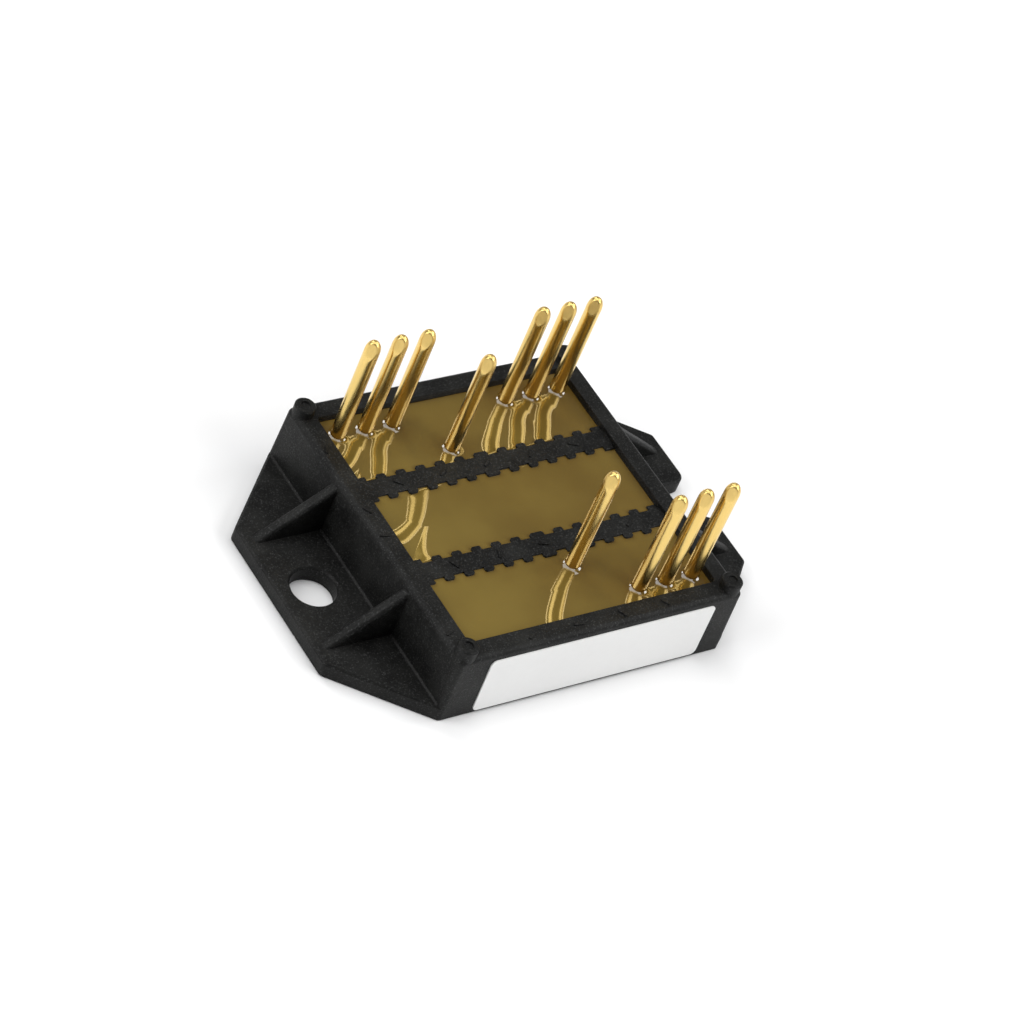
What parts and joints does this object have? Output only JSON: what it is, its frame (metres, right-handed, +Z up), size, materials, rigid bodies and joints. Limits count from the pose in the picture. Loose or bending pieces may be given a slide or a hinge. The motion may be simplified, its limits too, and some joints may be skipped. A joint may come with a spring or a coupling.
{
  "type": "thyristor module",
  "caption": "Low black power module with gel-filled window, toothed cross bars, round upright terminal pins and two screw ears.",
  "frame": {"origin": "centre of the base copper's cooling face, midway between the two screw ears", "axes": "+X from the ear with the round hole to the ear with the open slot, +Y from the label wall to the longer pin row, +Z up along the pins"},
  "size_m": [0.0484, 0.0328, 0.0194],
  "materials": {
    "black_plastic": "satin",
    "amber_gel": "gloss",
    "white_label": "satin",
    "copper": "satin",
    "white_ceramic": "matte",
    "solder": "satin",
    "silicon": "gloss",
    "wire_aluminium": "satin",
    "gold_plating": "polished"
  },
  "bodies": {
    "root": {"housing": "black_plastic", "potting_gel": "amber_gel", "label": "white_label", "base_copper": "copper", "ceramic_plate": "white_ceramic", "copper_island_a": "copper", "copper_island_b": "copper", "copper_island_c": "copper", "gate_pad_1": "copper", "gate_pad_2": "copper", "die_solder_1": "solder", "die_solder_2": "solder", "thyristor_die_1": "silicon", "thyristor_die_2": "silicon", "bond_wires_1": "wire_aluminium", "bond_wires_2": "wire_aluminium", "gate_wire_1": "wire_aluminium", "gate_wire_2": "wire_aluminium", "pin_1": "gold_plating", "pin_2": "gold_plating", "pin_3": "gold_plating", "pin_4": "gold_plating", "pin_5": "gold_plating", "pin_6": "gold_plating", "pin_7": "gold_plating", "pin_8": "gold_plating", "pin_9": "gold_plating", "pin_10": "gold_plating", "pin_11": "gold_plating"}
  },
  "joints": []
}
